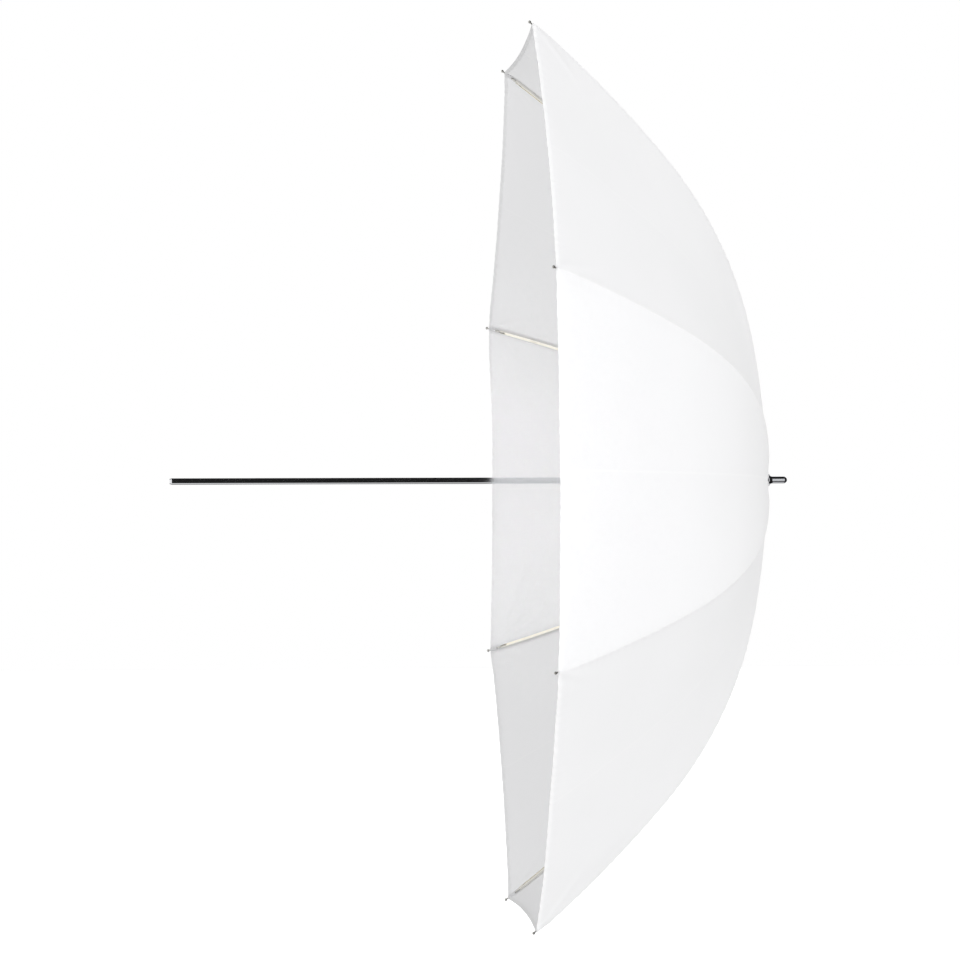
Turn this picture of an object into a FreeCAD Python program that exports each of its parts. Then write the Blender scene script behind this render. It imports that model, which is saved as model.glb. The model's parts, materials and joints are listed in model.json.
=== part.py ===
"""White studio umbrella on a steel shaft: eight sprung ribs, stretchers, a runner and a cloth canopy.

The shaft lies along X. Its free end is at the origin, the crown and finial are at +X, and +Z is up.
Millimetres and degrees. Every rib assembly is drawn in the plane of its own rib and turned about the shaft.
"""
import FreeCAD, Part
import math
import os

import Sketcher

RIBS = 8

# Driving dimensions: alias, value.
DIMENSIONS = (
    # shaft
    ("shaft_length", 687.0),
    ("shaft_radius", 3.5),
    ("shaft_wall", 0.5),
    ("end_roll_length", 2.5),
    ("end_roll_drop", 0.7),
    ("crimp_width", 1.6),
    ("crimp_depth", 0.2),
    # crown, where the ribs are hinged on a ring of wire
    ("crown_inset", 24.0),
    ("crown_wire_ring", 6.5),
    ("wire_radius", 0.5),
    ("crown_radius", 9.5),
    ("crown_below", 4.0),
    ("crown_above", 4.0),
    ("crown_cap", 1.2),
    ("crown_chamfer", 1.0),
    ("edge_chamfer", 0.6),
    ("slot_clearance", 0.2),
    ("crown_pin_radius", 0.8),
    ("crown_pin_drop", 2.4),
    ("crown_pin_inset", 0.4),
    ("washer_thickness", 0.9),
    ("washer_radius", 8.0),
    ("washer_clearance", 0.5),
    ("washer_chamfer", 0.5),
    # finial on the end of the shaft
    ("finial_length", 21.0),
    ("finial_flare_radius", 6.75),
    ("finial_wall", 0.4),
    ("finial_flare_length", 4.5),
    ("finial_flare_arc", 4.95),
    ("finial_lip", 0.6),
    # rib: a U channel, straight at the crown and then bent in three tangent arcs
    ("rib_start_slope", 2.0),
    ("rib_lead", 6.0),
    ("rib_length_near", 194.0),
    ("rib_bend_near", 15.5),
    ("rib_length_middle", 200.0),
    ("rib_bend_middle", 23.0),
    ("rib_length_far", 187.5),
    ("rib_bend_far", 7.75),
    ("rib_width", 3.2),
    ("rib_depth", 2.6),
    ("rib_wall", 0.45),
    ("rib_split_gap", 1.0),
    ("blade_thickness", 1.4),
    ("blade_radius", 1.5),
    ("blade_taper", 0.4),
    ("blade_grip", 3.0),
    ("eye_overlap", 0.6),
    ("pivot_clearance", 0.12),
    # tip of each rib
    ("tip_length", 21.0),
    ("tip_fit", 0.05),
    ("tip_collar_radius", 1.3),
    ("tip_collar_gap", 0.3),
    ("tip_collar_length", 5.0),
    ("tip_collar_taper", 1.0),
    ("tip_ball_radius", 1.6),
    ("tip_socket", 6.0),
    # saddle clipped on the rib, with the stretcher's rivet
    ("saddle_at", 249.0),
    ("saddle_length", 12.0),
    ("saddle_wall", 0.5),
    ("saddle_fit", 0.1),
    ("saddle_ear_reach", 5.4),
    ("saddle_ear_length", 5.0),
    ("rivet_drop", 3.8),
    ("rivet_radius", 0.8),
    ("rivet_head", 0.4),
    # stretcher
    ("stretcher_length", 270.0),
    ("stretcher_width", 2.4),
    ("stretcher_depth", 2.0),
    ("stretcher_wall", 0.4),
    ("stretcher_blade", 1.2),
    ("stretcher_eye_radius", 1.5),
    ("stretcher_bare", 7.0),
    ("stretcher_grip", 4.0),
    ("stretcher_fit", 0.1),
    # runner
    ("runner_clearance", 0.08),
    ("runner_radius", 5.6),
    ("runner_length", 34.0),
    ("runner_grip_radius", 7.6),
    ("runner_grip_length", 4.0),
    ("runner_grip_taper", 1.0),
    ("runner_ring_radius", 10.6),
    ("runner_ring_length", 6.0),
    ("runner_ring_floor", 6.2),
    ("runner_ring_chamfer", 0.8),
    ("runner_wire_ring", 8.0),
    ("stop_radius", 0.75),
    ("stop_reach", 5.6),
    ("stop_gap", 0.4),
    # catch spring that holds the open runner
    ("catch_length", 25.0),
    ("catch_height", 6.0),
    ("catch_width", 2.2),
    ("catch_thickness", 0.8),
    ("catch_tongue", 5.0),
    ("catch_gap", 0.3),
    ("catch_foot", 5.0),
    ("catch_sink", 1.9),
    ("catch_bend", 0.6),
    ("catch_flat", 3.0),
    ("plug_length", 12.0),
    # canopy
    ("cloth_thickness", 0.8),
    ("cloth_stand_off", 2.7),
    ("cloth_hole_radius", 5.0),
    ("cloth_past_channel", 15.0),
    ("hem_scallop", 7.0),
    ("panel_gap_angle", 0.02),
    # how far a cut runs past the face that it opens
    ("cut_overrun", 1.0),
)

doc = FreeCAD.newDocument("umbrella")
sheet = doc.addObject("Spreadsheet::Sheet", "Sizes")
for row, (alias, number) in enumerate(DIMENSIONS, start=1):
    sheet.set("A%d" % row, alias)
    sheet.set("B%d" % row, str(number))
    sheet.setAlias("B%d" % row, alias)
doc.recompute()


class Size:
    """A length or angle that carries its value and the spreadsheet expression that gives it."""

    def __init__(self, value, text):
        self.value = value
        self.text = text

    def _join(self, other, sign, value, flip=False):
        other = as_size(other)
        first, second = (other, self) if flip else (self, other)
        return Size(value, "(%s %s %s)" % (first.text, sign, second.text))

    def __add__(self, other):
        return self._join(other, "+", self.value + as_size(other).value)

    def __sub__(self, other):
        return self._join(other, "-", self.value - as_size(other).value)

    def __rsub__(self, other):
        return self._join(other, "-", as_size(other).value - self.value, flip=True)

    def __mul__(self, other):
        return self._join(other, "*", self.value * as_size(other).value)

    def __truediv__(self, other):
        return self._join(other, "/", self.value / as_size(other).value)

    def __neg__(self):
        return Size(-self.value, "(0 - %s)" % self.text)

    __radd__ = __add__
    __rmul__ = __mul__


def as_size(value):
    return value if isinstance(value, Size) else Size(float(value), repr(float(value)))


size = {alias: Size(float(sheet.get(alias)), "Sizes." + alias) for alias, number in DIMENSIONS}
size["crown_pivot_x"] = size["shaft_length"] - size["crown_inset"]
size["finial_neck_radius"] = size["shaft_radius"] + size["finial_wall"]
size["tip_shank_radius"] = size["rib_depth"] / 2 - size["rib_wall"] - size["tip_fit"]
mm = {alias: one.value for alias, one in size.items()}


# --- the rib's line and the linkage, worked out from the driving dimensions ---------------------

RIB_SPANS = (
    (mm["rib_lead"], 0.0),
    (mm["rib_length_near"], mm["rib_bend_near"]),
    (mm["rib_length_middle"], mm["rib_bend_middle"]),
    (mm["rib_length_far"], mm["rib_bend_far"]),
)
RIB_LENGTH = sum(length for length, bend in RIB_SPANS)
SPLIT_AT = mm["saddle_at"] + mm["saddle_length"] / 2 + mm["rib_split_gap"] / 2


def rib_point(distance):
    """X, radius and slope of the rib's centre line at a distance from the crown pivot."""
    x, radius, slope = mm["crown_pivot_x"], mm["crown_wire_ring"], mm["rib_start_slope"]
    left = distance
    for length, bend in RIB_SPANS + ((math.inf, 0.0),):
        step = min(left, length)
        turn = bend * step / length
        chord = step
        if turn:
            half = math.radians(turn) / 2
            chord = step * math.sin(half) / half
        heading = math.radians(slope + turn / 2)
        x -= chord * math.sin(heading)
        radius += chord * math.cos(heading)
        slope += turn
        left -= step
    return x, radius, slope


def inward(distance, drop):
    """A point that stands inward of the rib's line by a drop."""
    x, radius, slope = rib_point(distance)
    angle = math.radians(slope)
    return x - drop * math.cos(angle), radius - drop * math.sin(angle)


RIVET_X, RIVET_RADIUS = inward(mm["saddle_at"], mm["rivet_drop"])
STRETCHER_RISE = RIVET_RADIUS - mm["runner_wire_ring"]
RUNNER_X = RIVET_X - math.sqrt(mm["stretcher_length"] ** 2 - STRETCHER_RISE ** 2)
STRETCHER_SLOPE = math.degrees(math.asin(STRETCHER_RISE / mm["stretcher_length"]))
CATCH_STEP_X = RUNNER_X + mm["runner_ring_length"] / 2 - mm["runner_length"] - mm["catch_gap"]
CATCH_X = CATCH_STEP_X - mm["catch_length"]
STOP_X = RUNNER_X + mm["runner_ring_length"] / 2 + mm["stop_gap"] + mm["stop_radius"]
CRIMP_X = CATCH_X + mm["catch_foot"] - mm["plug_length"] + 2 * mm["crimp_width"]
CROWN_PIN_X = mm["crown_pivot_x"] - mm["crown_pin_drop"]
WASHER_X = mm["crown_pivot_x"] + mm["crown_above"]
CLOTH_X = WASHER_X + mm["washer_thickness"] + mm["washer_clearance"]
FINIAL_X = CLOTH_X + mm["cloth_thickness"] + mm["washer_clearance"]


def rib_angle(index):
    """Angle of a rib about the shaft, from straight up, positive towards -Y."""
    return (index + 0.5) * 360.0 / RIBS


def about_shaft(angle):
    return FreeCAD.Placement(FreeCAD.Vector(), FreeCAD.Rotation(FreeCAD.Vector(1, 0, 0), angle))


def in_rib_plane(angle, x, radius, slope):
    """A frame in a rib's plane: local Z along the piece, local X towards the cloth."""
    tilt = FreeCAD.Rotation(FreeCAD.Vector(0, 1, 0), -slope)
    return about_shaft(angle).multiply(FreeCAD.Placement(FreeCAD.Vector(x, 0, radius), tilt))


# --- drawing helpers ----------------------------------------------------------------------------

def new_body(name, placement=None):
    body = doc.addObject("PartDesign::Body", name)
    body.Label = name
    if placement is not None:
        body.Placement = placement
    return body


def origin_feature(body, role):
    return next(one for one in body.Origin.OriginFeatures if one.Role == role)


def new_sketch(body, role, offset=None):
    sketch = body.newObject("Sketcher::SketchObject", body.Name + "_sketch")
    sketch.AttachmentSupport = [(origin_feature(body, role), "")]
    sketch.MapMode = "FlatFace"
    if offset is not None:
        sketch.AttachmentOffset = offset
    return sketch


def bind(sketch, constraint, one):
    """Adds a dimension and ties it to the spreadsheet."""
    index = sketch.addConstraint(constraint)
    sketch.setExpression("Constraints[%d]" % index, one.text)


def pin_point(sketch, geometry, end, x, y):
    x, y = as_size(x), as_size(y)
    bind(sketch, Sketcher.Constraint("DistanceX", -1, 1, geometry, end, x.value), x)
    bind(sketch, Sketcher.Constraint("DistanceY", -1, 1, geometry, end, y.value), y)


def outline(sketch, corners):
    """A closed outline. A corner is (x, y), or (x, y, radius) to reach the next corner by an arc.

    A positive radius bends the arc to the left of the way along the outline, a negative one to the right.
    """
    first = sketch.GeometryCount
    flat = [(as_size(one[0]).value, as_size(one[1]).value) for one in corners]
    for index, corner in enumerate(corners):
        start = FreeCAD.Vector(*flat[index], 0)
        end = FreeCAD.Vector(*flat[(index + 1) % len(flat)], 0)
        if len(corner) == 2:
            sketch.addGeometry(Part.LineSegment(start, end))
            continue
        radius = as_size(corner[2])
        chord = end - start
        left = FreeCAD.Vector(-chord.y, chord.x, 0).normalize()
        reach = math.sqrt(max(radius.value ** 2 - (chord.Length / 2) ** 2, 0.0))
        bulge = abs(radius.value) - reach
        side = 1 if radius.value > 0 else -1
        middle = (start + end) * 0.5 + left * (side * bulge)
        sketch.addGeometry(Part.Arc(start, middle, end))
    for index, corner in enumerate(corners):
        here, after = first + index, first + (index + 1) % len(corners)
        start_here = 1
        if len(corner) == 3 and as_size(corner[2]).value > 0:
            start_here = 2
        next_corner = corners[(index + 1) % len(corners)]
        start_after = 2 if len(next_corner) == 3 and as_size(next_corner[2]).value > 0 else 1
        sketch.addConstraint(Sketcher.Constraint("Coincident", here, 3 - start_here, after, start_after))
        pin_point(sketch, here, start_here, corner[0], corner[1])
        if len(corner) == 3:
            radius = as_size(corner[2])
            length = radius if radius.value > 0 else -radius
            bind(sketch, Sketcher.Constraint("Radius", here, length.value), length)


def rectangle(sketch, left, bottom, right, top):
    outline(sketch, ((left, bottom), (right, bottom), (right, top), (left, top)))


def circle(sketch, x, y, radius):
    x, y, radius = as_size(x), as_size(y), as_size(radius)
    centre = FreeCAD.Vector(x.value, y.value, 0)
    index = sketch.addGeometry(Part.Circle(centre, FreeCAD.Vector(0, 0, 1), radius.value))
    pin_point(sketch, index, 3, x, y)
    bind(sketch, Sketcher.Constraint("Radius", index, radius.value), radius)


def revolve(body, corners, axis="H_Axis"):
    sketch = new_sketch(body, "XZ_Plane")
    outline(sketch, corners)
    feature = body.newObject("PartDesign::Revolution", body.Name + "_turned")
    feature.Profile = sketch
    feature.ReferenceAxis = (sketch, [axis])
    feature.Angle = 360
    doc.recompute()
    return feature


def pad(body, sketch, length, midplane=True):
    length = as_size(length)
    feature = body.newObject("PartDesign::Pad", body.Name + "_pad")
    feature.Profile = sketch
    feature.Midplane = midplane
    feature.setExpression("Length", length.text)
    doc.recompute()
    return feature


def pocket(body, sketch, length, midplane=True, upward=False):
    """A cut whose direction is proved by the volume that it takes away."""
    length = as_size(length)
    before = body.Tip.Shape.Volume
    feature = body.newObject("PartDesign::Pocket", body.Name + "_cut")
    feature.Profile = sketch
    feature.Midplane = midplane
    feature.Reversed = upward
    feature.setExpression("Length", length.text)
    doc.recompute()
    if not feature.Shape.Volume < before - 1e-6:
        raise RuntimeError("%s cuts nothing" % feature.Name)
    return feature


def around_shaft(body, feature, count=RIBS):
    pattern = body.newObject("PartDesign::PolarPattern", body.Name + "_pattern")
    pattern.Originals = [feature]
    pattern.Axis = (origin_feature(body, "X_Axis"), [""])
    pattern.Angle = 360
    pattern.Occurrences = count
    body.Tip = pattern
    doc.recompute()
    return pattern


def torus(name, ring, wire, x):
    """A ring of round wire about the shaft."""
    ring_wire = doc.addObject("Part::Torus", name)
    ring_wire.Label = name
    ring_wire.setExpression("Radius1", ring.text)
    ring_wire.setExpression("Radius2", wire.text)
    turned = FreeCAD.Rotation(FreeCAD.Vector(0, 1, 0), 90)
    ring_wire.Placement = FreeCAD.Placement(FreeCAD.Vector(x, 0, 0), turned)
    return ring_wire


def cross_pin(name, x, radius, half_length):
    """A round pin through the shaft, along Y."""
    pin = doc.addObject("Part::Cylinder", name)
    pin.Label = name
    pin.setExpression("Radius", radius.text)
    pin.setExpression("Height", (half_length * 2).text)
    along = FreeCAD.Rotation(FreeCAD.Vector(1, 0, 0), -90)
    pin.Placement = FreeCAD.Placement(FreeCAD.Vector(x, -half_length.value, 0), along)
    return pin


def u_channel(sketch, width, depth, wall):
    """A U with its web towards +X and its mouth towards -X."""
    half, inner = width / 2, width / 2 - wall
    back, floor = depth / 2, depth / 2 - wall
    outline(sketch, (
        (-back, -half), (back, -half), (back, half), (-back, half),
        (-back, inner), (floor, inner), (floor, -inner), (-back, -inner),
    ))


def wire_seat(body, x, ring, wire):
    """A groove that a ring of wire lies in."""
    before = body.Tip.Shape.Volume
    sketch = new_sketch(body, "XZ_Plane")
    circle(sketch, x, ring, wire)
    groove = body.newObject("PartDesign::Groove", body.Name + "_groove")
    groove.Profile = sketch
    groove.ReferenceAxis = (sketch, ["H_Axis"])
    groove.Angle = 360
    doc.recompute()
    if not groove.Shape.Volume < before - 1e-6:
        raise RuntimeError("%s cuts nothing" % groove.Name)


def radial_slots(body, angle, left, right, floor, width):
    """Slots open outward, one for each rib."""
    turn = FreeCAD.Rotation(FreeCAD.Vector(1, 0, 0), angle)
    offset = FreeCAD.Placement(turn.multVec(FreeCAD.Vector(0, 0, floor.value)), turn)
    sketch = new_sketch(body, "XY_Plane", offset)
    rectangle(sketch, left, -(width / 2), right, width / 2)
    slot = pocket(body, sketch, size["runner_ring_radius"] * 2, midplane=False, upward=True)
    around_shaft(body, slot)


# --- shaft, crown and finial --------------------------------------------------------------------

def make_shaft():
    body = new_body("shaft")
    outer = size["shaft_radius"]
    inner = outer - size["shaft_wall"]
    roll, drop = size["end_roll_length"], size["end_roll_drop"]
    crimp = as_size(CRIMP_X)
    low = outer - size["crimp_depth"]
    revolve(body, (
        (0, inner - drop), (0, outer - drop), (roll, outer),
        (crimp, outer), (crimp, low), (crimp + size["crimp_width"], low), (crimp + size["crimp_width"], outer),
        (size["shaft_length"], outer), (size["shaft_length"], inner), (roll, inner),
    ))
    slot = new_sketch(body, "XY_Plane")
    half = size["catch_width"] / 2 + size["slot_clearance"]
    start = as_size(CATCH_X + mm["catch_foot"])
    end = as_size(CATCH_STEP_X + mm["catch_gap"] + mm["slot_clearance"])
    rectangle(slot, start, -half, end, half)
    pocket(body, slot, outer * 2, midplane=False, upward=True)
    for x, radius in (
        (CROWN_PIN_X, size["crown_pin_radius"]),
        (STOP_X, size["stop_radius"]),
    ):
        hole = new_sketch(body, "XZ_Plane")
        circle(hole, x, 0, radius)
        pocket(body, hole, (outer + size["cut_overrun"]) * 2)
    return body


def make_crown():
    body = new_body("crown")
    pivot, radius = size["crown_pivot_x"], size["crown_radius"]
    bottom, top = pivot - size["crown_below"], pivot + size["crown_above"]
    taper, edge = size["crown_chamfer"], size["edge_chamfer"]
    revolve(body, (
        (bottom, size["shaft_radius"]), (bottom, radius - taper), (bottom + taper, radius),
        (top - edge, radius), (top, radius - edge), (top, size["shaft_radius"]),
    ))
    wire_seat(body, pivot, size["crown_wire_ring"], size["wire_radius"])
    floor = size["crown_wire_ring"] - size["blade_radius"] - size["slot_clearance"]
    width = size["blade_thickness"] + size["slot_clearance"] * 2
    radial_slots(body, rib_angle(0), bottom - size["cut_overrun"], top - size["crown_cap"], floor, width)
    hole = new_sketch(body, "XZ_Plane")
    circle(hole, CROWN_PIN_X, 0, size["crown_pin_radius"])
    pocket(body, hole, (radius + size["cut_overrun"]) * 2)
    torus("crown_wire", size["crown_wire_ring"], size["wire_radius"], mm["crown_pivot_x"])
    cross_pin("crown_pin", CROWN_PIN_X, size["crown_pin_radius"], radius - size["crown_pin_inset"])
    washer = new_body("canopy_washer")
    revolve(washer, (
        (top, size["shaft_radius"]), (top, size["washer_radius"]),
        (top + size["washer_thickness"], size["washer_radius"] - size["washer_chamfer"]),
        (top + size["washer_thickness"], size["shaft_radius"]),
    ))
    return body


def make_finial():
    body = new_body("finial")
    inner, flare = size["shaft_radius"], size["finial_flare_radius"]
    neck, lip = size["finial_neck_radius"], size["finial_lip"]
    base = as_size(FINIAL_X)
    end = base + size["finial_length"]
    tube_end = size["shaft_length"]
    revolve(body, (
        (base, inner), (base, flare), (base + lip, flare, -size["finial_flare_arc"]),
        (base + size["finial_flare_length"], neck), (end - neck, neck, neck),
        (end, 0), (tube_end, 0), (tube_end, inner),
    ))
    return body


# --- runner, stop and catch ---------------------------------------------------------------------

def make_runner():
    body = new_body("runner")
    bore = size["shaft_radius"] + size["runner_clearance"]
    outer, grip = size["runner_radius"], size["runner_grip_radius"]
    top = as_size(RUNNER_X) + size["runner_ring_length"] / 2
    bottom = top - size["runner_length"]
    collar = bottom + size["runner_grip_length"]
    edge = size["edge_chamfer"]
    revolve(body, (
        (bottom, bore), (bottom, grip - edge), (bottom + edge, grip), (collar - edge, grip),
        (collar, grip - edge), (collar + size["runner_grip_taper"], outer), (top, outer), (top, bore),
    ))
    ring = new_body("runner_ring")
    ring_bottom = top - size["runner_ring_length"]
    radius, taper = size["runner_ring_radius"], size["runner_ring_chamfer"]
    revolve(ring, (
        (ring_bottom, outer), (ring_bottom, radius - taper), (ring_bottom + taper, radius),
        (top - taper, radius), (top, radius - taper), (top, outer),
    ))
    wire_seat(ring, as_size(RUNNER_X), size["runner_wire_ring"], size["wire_radius"])
    width = size["stretcher_blade"] + size["slot_clearance"] * 2
    past = size["cut_overrun"]
    radial_slots(ring, rib_angle(0), ring_bottom - past, top + past, size["runner_ring_floor"], width)
    torus("runner_wire", size["runner_wire_ring"], size["wire_radius"], RUNNER_X)
    cross_pin("runner_stop", STOP_X, size["stop_radius"], size["stop_reach"])


def make_catch():
    """A leaf that leans out of the shaft's slot, with a step that holds the runner."""
    inner = size["shaft_radius"] - size["shaft_wall"]
    catch = new_body("open_catch", FreeCAD.Placement(FreeCAD.Vector(CATCH_X, 0, 0), FreeCAD.Rotation()))
    leaf, thick = size["catch_length"], size["catch_thickness"]
    foot, height = size["catch_foot"], size["catch_height"]
    low = inner - size["catch_sink"]
    bend, under = size["catch_bend"], thick / 2
    step = leaf - size["catch_flat"]
    side = new_sketch(catch, "XZ_Plane")
    outline(side, (
        (0, low), (foot + bend + under, low), (step + under, height - thick), (leaf - thick, height - thick),
        (leaf - thick, low), (leaf + size["catch_tongue"], low),
        (leaf + size["catch_tongue"], low + thick), (leaf, low + thick),
        (leaf, height), (step, height), (foot + bend, low + thick), (0, low + thick),
    ))
    pad(catch, side, size["catch_width"])
    plug = new_body("catch_plug")
    start = as_size(CATCH_X) + foot - size["plug_length"]
    end = as_size(CATCH_X) + foot
    revolve(plug, ((start, 0), (start, inner), (end, inner), (end, 0)))
    slot = new_sketch(plug, "XZ_Plane")
    gap, past = size["slot_clearance"], size["cut_overrun"]
    rectangle(slot, as_size(CATCH_X) - gap, low - gap, end + past, inner + past)
    pocket(plug, slot, size["catch_width"] + gap * 2)


# --- ribs, tips, saddles and stretchers ---------------------------------------------------------

def arc_path(sketch, start_y, arcs):
    """Tangent arcs that leave the Y axis upward and bend towards -X. Each is (length, bend)."""
    previous = None
    centre = FreeCAD.Vector(0, as_size(start_y).value, 0)
    turned = 0.0
    radius_before = 0.0
    for length, bend in arcs:
        length, bend = as_size(length), as_size(bend)
        radius = length * (180.0 / math.pi) / bend
        outward = FreeCAD.Vector(math.cos(turned), math.sin(turned), 0)
        centre = centre + outward * (radius_before - radius.value)
        end_turn = turned + math.radians(bend.value)
        whole = Part.Circle(centre, FreeCAD.Vector(0, 0, 1), radius.value)
        index = sketch.addGeometry(Part.ArcOfCircle(whole, turned, end_turn))
        if previous is None:
            pin_point(sketch, index, 1, 0, start_y)
            level = as_size(start_y)
            bind(sketch, Sketcher.Constraint("DistanceY", -1, 1, index, 3, level.value), level)
        else:
            sketch.addConstraint(Sketcher.Constraint("Tangent", previous, 2, index, 1))
        bind(sketch, Sketcher.Constraint("Radius", index, radius.value), radius)
        bind(sketch, Sketcher.Constraint("Angle", index, math.radians(bend.value)), bend * Size(1.0, "1 deg"))
        previous, turned, radius_before = index, end_turn, radius.value


def channel_along(body, start_y, arcs):
    """A U channel swept along tangent arcs."""
    start = FreeCAD.Placement(FreeCAD.Vector(0, 0, as_size(start_y).value), FreeCAD.Rotation())
    profile = new_sketch(body, "XY_Plane", start)
    u_channel(profile, size["rib_width"], size["rib_depth"], size["rib_wall"])
    path = new_sketch(body, "XZ_Plane")
    arc_path(path, start_y, arcs)
    doc.recompute()
    pipe = body.newObject("PartDesign::AdditivePipe", body.Name + "_channel")
    pipe.Profile = profile
    pipe.Spine = path
    doc.recompute()
    return pipe


def make_rib_inner(index, angle):
    name = "rib_inner_%d" % (index + 1)
    body = new_body(name, in_rib_plane(angle, *rib_point(0.0)))
    near = size["rib_length_near"]
    part_way = as_size(SPLIT_AT) - size["rib_split_gap"] / 2 - size["rib_lead"] - near
    arcs = (
        (near, size["rib_bend_near"]),
        (part_way, size["rib_bend_middle"] * part_way / size["rib_length_middle"]),
    )
    channel_along(body, size["rib_lead"], arcs)
    eye = new_sketch(body, "XZ_Plane")
    circle(eye, 0, 0, size["blade_radius"])
    circle(eye, 0, 0, size["wire_radius"] + size["pivot_clearance"])
    pad(body, eye, size["blade_thickness"])
    bar = new_sketch(body, "XZ_Plane")
    half = size["blade_radius"] - size["blade_taper"]
    near_end = size["blade_radius"] - size["eye_overlap"]
    rectangle(bar, -half, near_end, half, size["rib_lead"] + size["blade_grip"])
    pad(body, bar, size["blade_thickness"])


def make_rib_outer(index, angle):
    start = SPLIT_AT + mm["rib_split_gap"] / 2
    name = "rib_outer_%d" % (index + 1)
    body = new_body(name, in_rib_plane(angle, *rib_point(start)))
    left = size["rib_lead"] + size["rib_length_near"] + size["rib_length_middle"] - as_size(start)
    arcs = (
        (left, size["rib_bend_middle"] * left / size["rib_length_middle"]),
        (size["rib_length_far"], size["rib_bend_far"]),
    )
    channel_along(body, as_size(0), arcs)


def make_rib_tip(index, angle):
    body = new_body("rib_tip_%d" % (index + 1), in_rib_plane(angle, *rib_point(RIB_LENGTH)))
    shank, collar, ball = size["tip_shank_radius"], size["tip_collar_radius"], size["tip_ball_radius"]
    length, socket = size["tip_length"], size["tip_socket"]
    neck = Size(
        math.sqrt(ball.value ** 2 - shank.value ** 2),
        "sqrt(%s * %s - %s * %s)" % (ball.text, ball.text, shank.text, shank.text),
    )
    start = size["tip_collar_gap"]
    end = start + size["tip_collar_length"]
    revolve(body, (
        (0, -socket), (shank, -socket), (shank, start), (collar, start), (collar, end),
        (shank, end + size["tip_collar_taper"]), (shank, length - neck, -ball), (0, length + ball),
    ), axis="V_Axis")


def make_saddle(index, angle):
    """A clip over the rib's back, with two ears inward that carry the rivet."""
    x, radius, slope = rib_point(mm["saddle_at"])
    body = new_body("saddle_%d" % (index + 1), in_rib_plane(angle, x, radius, slope))
    inner = size["rib_width"] / 2 + size["saddle_fit"]
    outer = inner + size["saddle_wall"]
    back = size["rib_depth"] / 2 + size["saddle_fit"]
    mouth = size["rib_depth"] / 2
    reach = size["saddle_ear_reach"]
    clip = new_sketch(body, "XY_Plane")
    outline(clip, (
        (-mouth, -outer), (back + size["saddle_wall"], -outer), (back + size["saddle_wall"], outer),
        (-mouth, outer), (-mouth, inner), (back, inner), (back, -inner), (-mouth, -inner),
    ))
    pad(body, clip, size["saddle_length"])
    for side in (-1, 1):
        ear = new_sketch(body, "XY_Plane")
        low, high = (inner, outer) if side > 0 else (-outer, -inner)
        rectangle(ear, -reach, low, -(mouth - size["saddle_wall"]), high)
        pad(body, ear, size["saddle_ear_length"])
    rivet = new_sketch(body, "XZ_Plane")
    circle(rivet, -size["rivet_drop"], 0, size["rivet_radius"])
    pad(body, rivet, (outer + size["rivet_head"]) * 2)


def make_stretcher(index, angle):
    """A thin U channel with a flat blade and an eye at each end."""
    body = new_body(
        "stretcher_%d" % (index + 1),
        in_rib_plane(angle, RUNNER_X, mm["runner_wire_ring"], STRETCHER_SLOPE - 90.0),
    )
    length, bare = size["stretcher_length"], size["stretcher_bare"]
    start = FreeCAD.Placement(FreeCAD.Vector(0, 0, bare.value), FreeCAD.Rotation())
    profile = new_sketch(body, "XY_Plane", start)
    u_channel(profile, size["stretcher_width"], size["stretcher_depth"], size["stretcher_wall"])
    pad(body, profile, length - bare * 2, midplane=False)
    half = size["stretcher_depth"] / 2 - size["stretcher_fit"]
    eye = size["stretcher_eye_radius"]
    inner_end, grip_end = eye - size["eye_overlap"], bare + size["stretcher_grip"]
    for place, hole, near, far in (
        (as_size(0), size["wire_radius"], inner_end, grip_end),
        (length, size["rivet_radius"], length - grip_end, length - inner_end),
    ):
        ring = new_sketch(body, "XZ_Plane")
        circle(ring, 0, place, eye)
        circle(ring, 0, place, hole + size["pivot_clearance"])
        pad(body, ring, size["stretcher_blade"])
        bar = new_sketch(body, "XZ_Plane")
        rectangle(bar, -half, near, half, far)
        pad(body, bar, size["stretcher_blade"])


# --- canopy -------------------------------------------------------------------------------------

def cloth_line(scale, shorten, lift):
    """Edges of the cloth's section in one radial plane, from the shaft out to the rim.

    The line follows the rib at a stand-off, and its first arc runs from the apex to meet it.
    Radii are scaled between the rib planes, because the cloth is straight from rib to rib.
    """
    stand_off = mm["cloth_stand_off"] + lift

    def over_rib(distance):
        x, radius, slope = rib_point(distance)
        angle = math.radians(slope)
        return x + stand_off * math.cos(angle), (radius + stand_off * math.sin(angle)) * scale

    near_end = mm["rib_lead"] + mm["rib_length_near"]
    middle_end = near_end + mm["rib_length_middle"]
    far_end = RIB_LENGTH + mm["cloth_past_channel"] - shorten
    join_x, join_radius = over_rib(near_end)
    apex = FreeCAD.Vector(CLOTH_X + lift, 0, mm["cloth_hole_radius"])
    join = FreeCAD.Vector(join_x, 0, join_radius)
    slope = math.atan(math.tan(math.radians(rib_point(near_end)[2])) / scale)
    tangent = FreeCAD.Vector(-math.sin(slope), 0, math.cos(slope))
    chord = join - apex
    across = FreeCAD.Vector(chord.z, 0, -chord.x).normalize()
    bend = math.acos(min(1.0, tangent.dot(chord) / chord.Length))
    middle = (apex + join) * 0.5 + across * (chord.Length / 2 * math.tan(bend / 2))
    edges = [Part.Arc(apex, middle, join).toShape()]
    for start, end in ((near_end, middle_end), (middle_end, far_end)):
        points = [over_rib(start + (end - start) * share) for share in (0.0, 0.5, 1.0)]
        edges.append(Part.Arc(*[FreeCAD.Vector(x, 0, radius) for x, radius in points]).toShape())
    return edges


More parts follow.
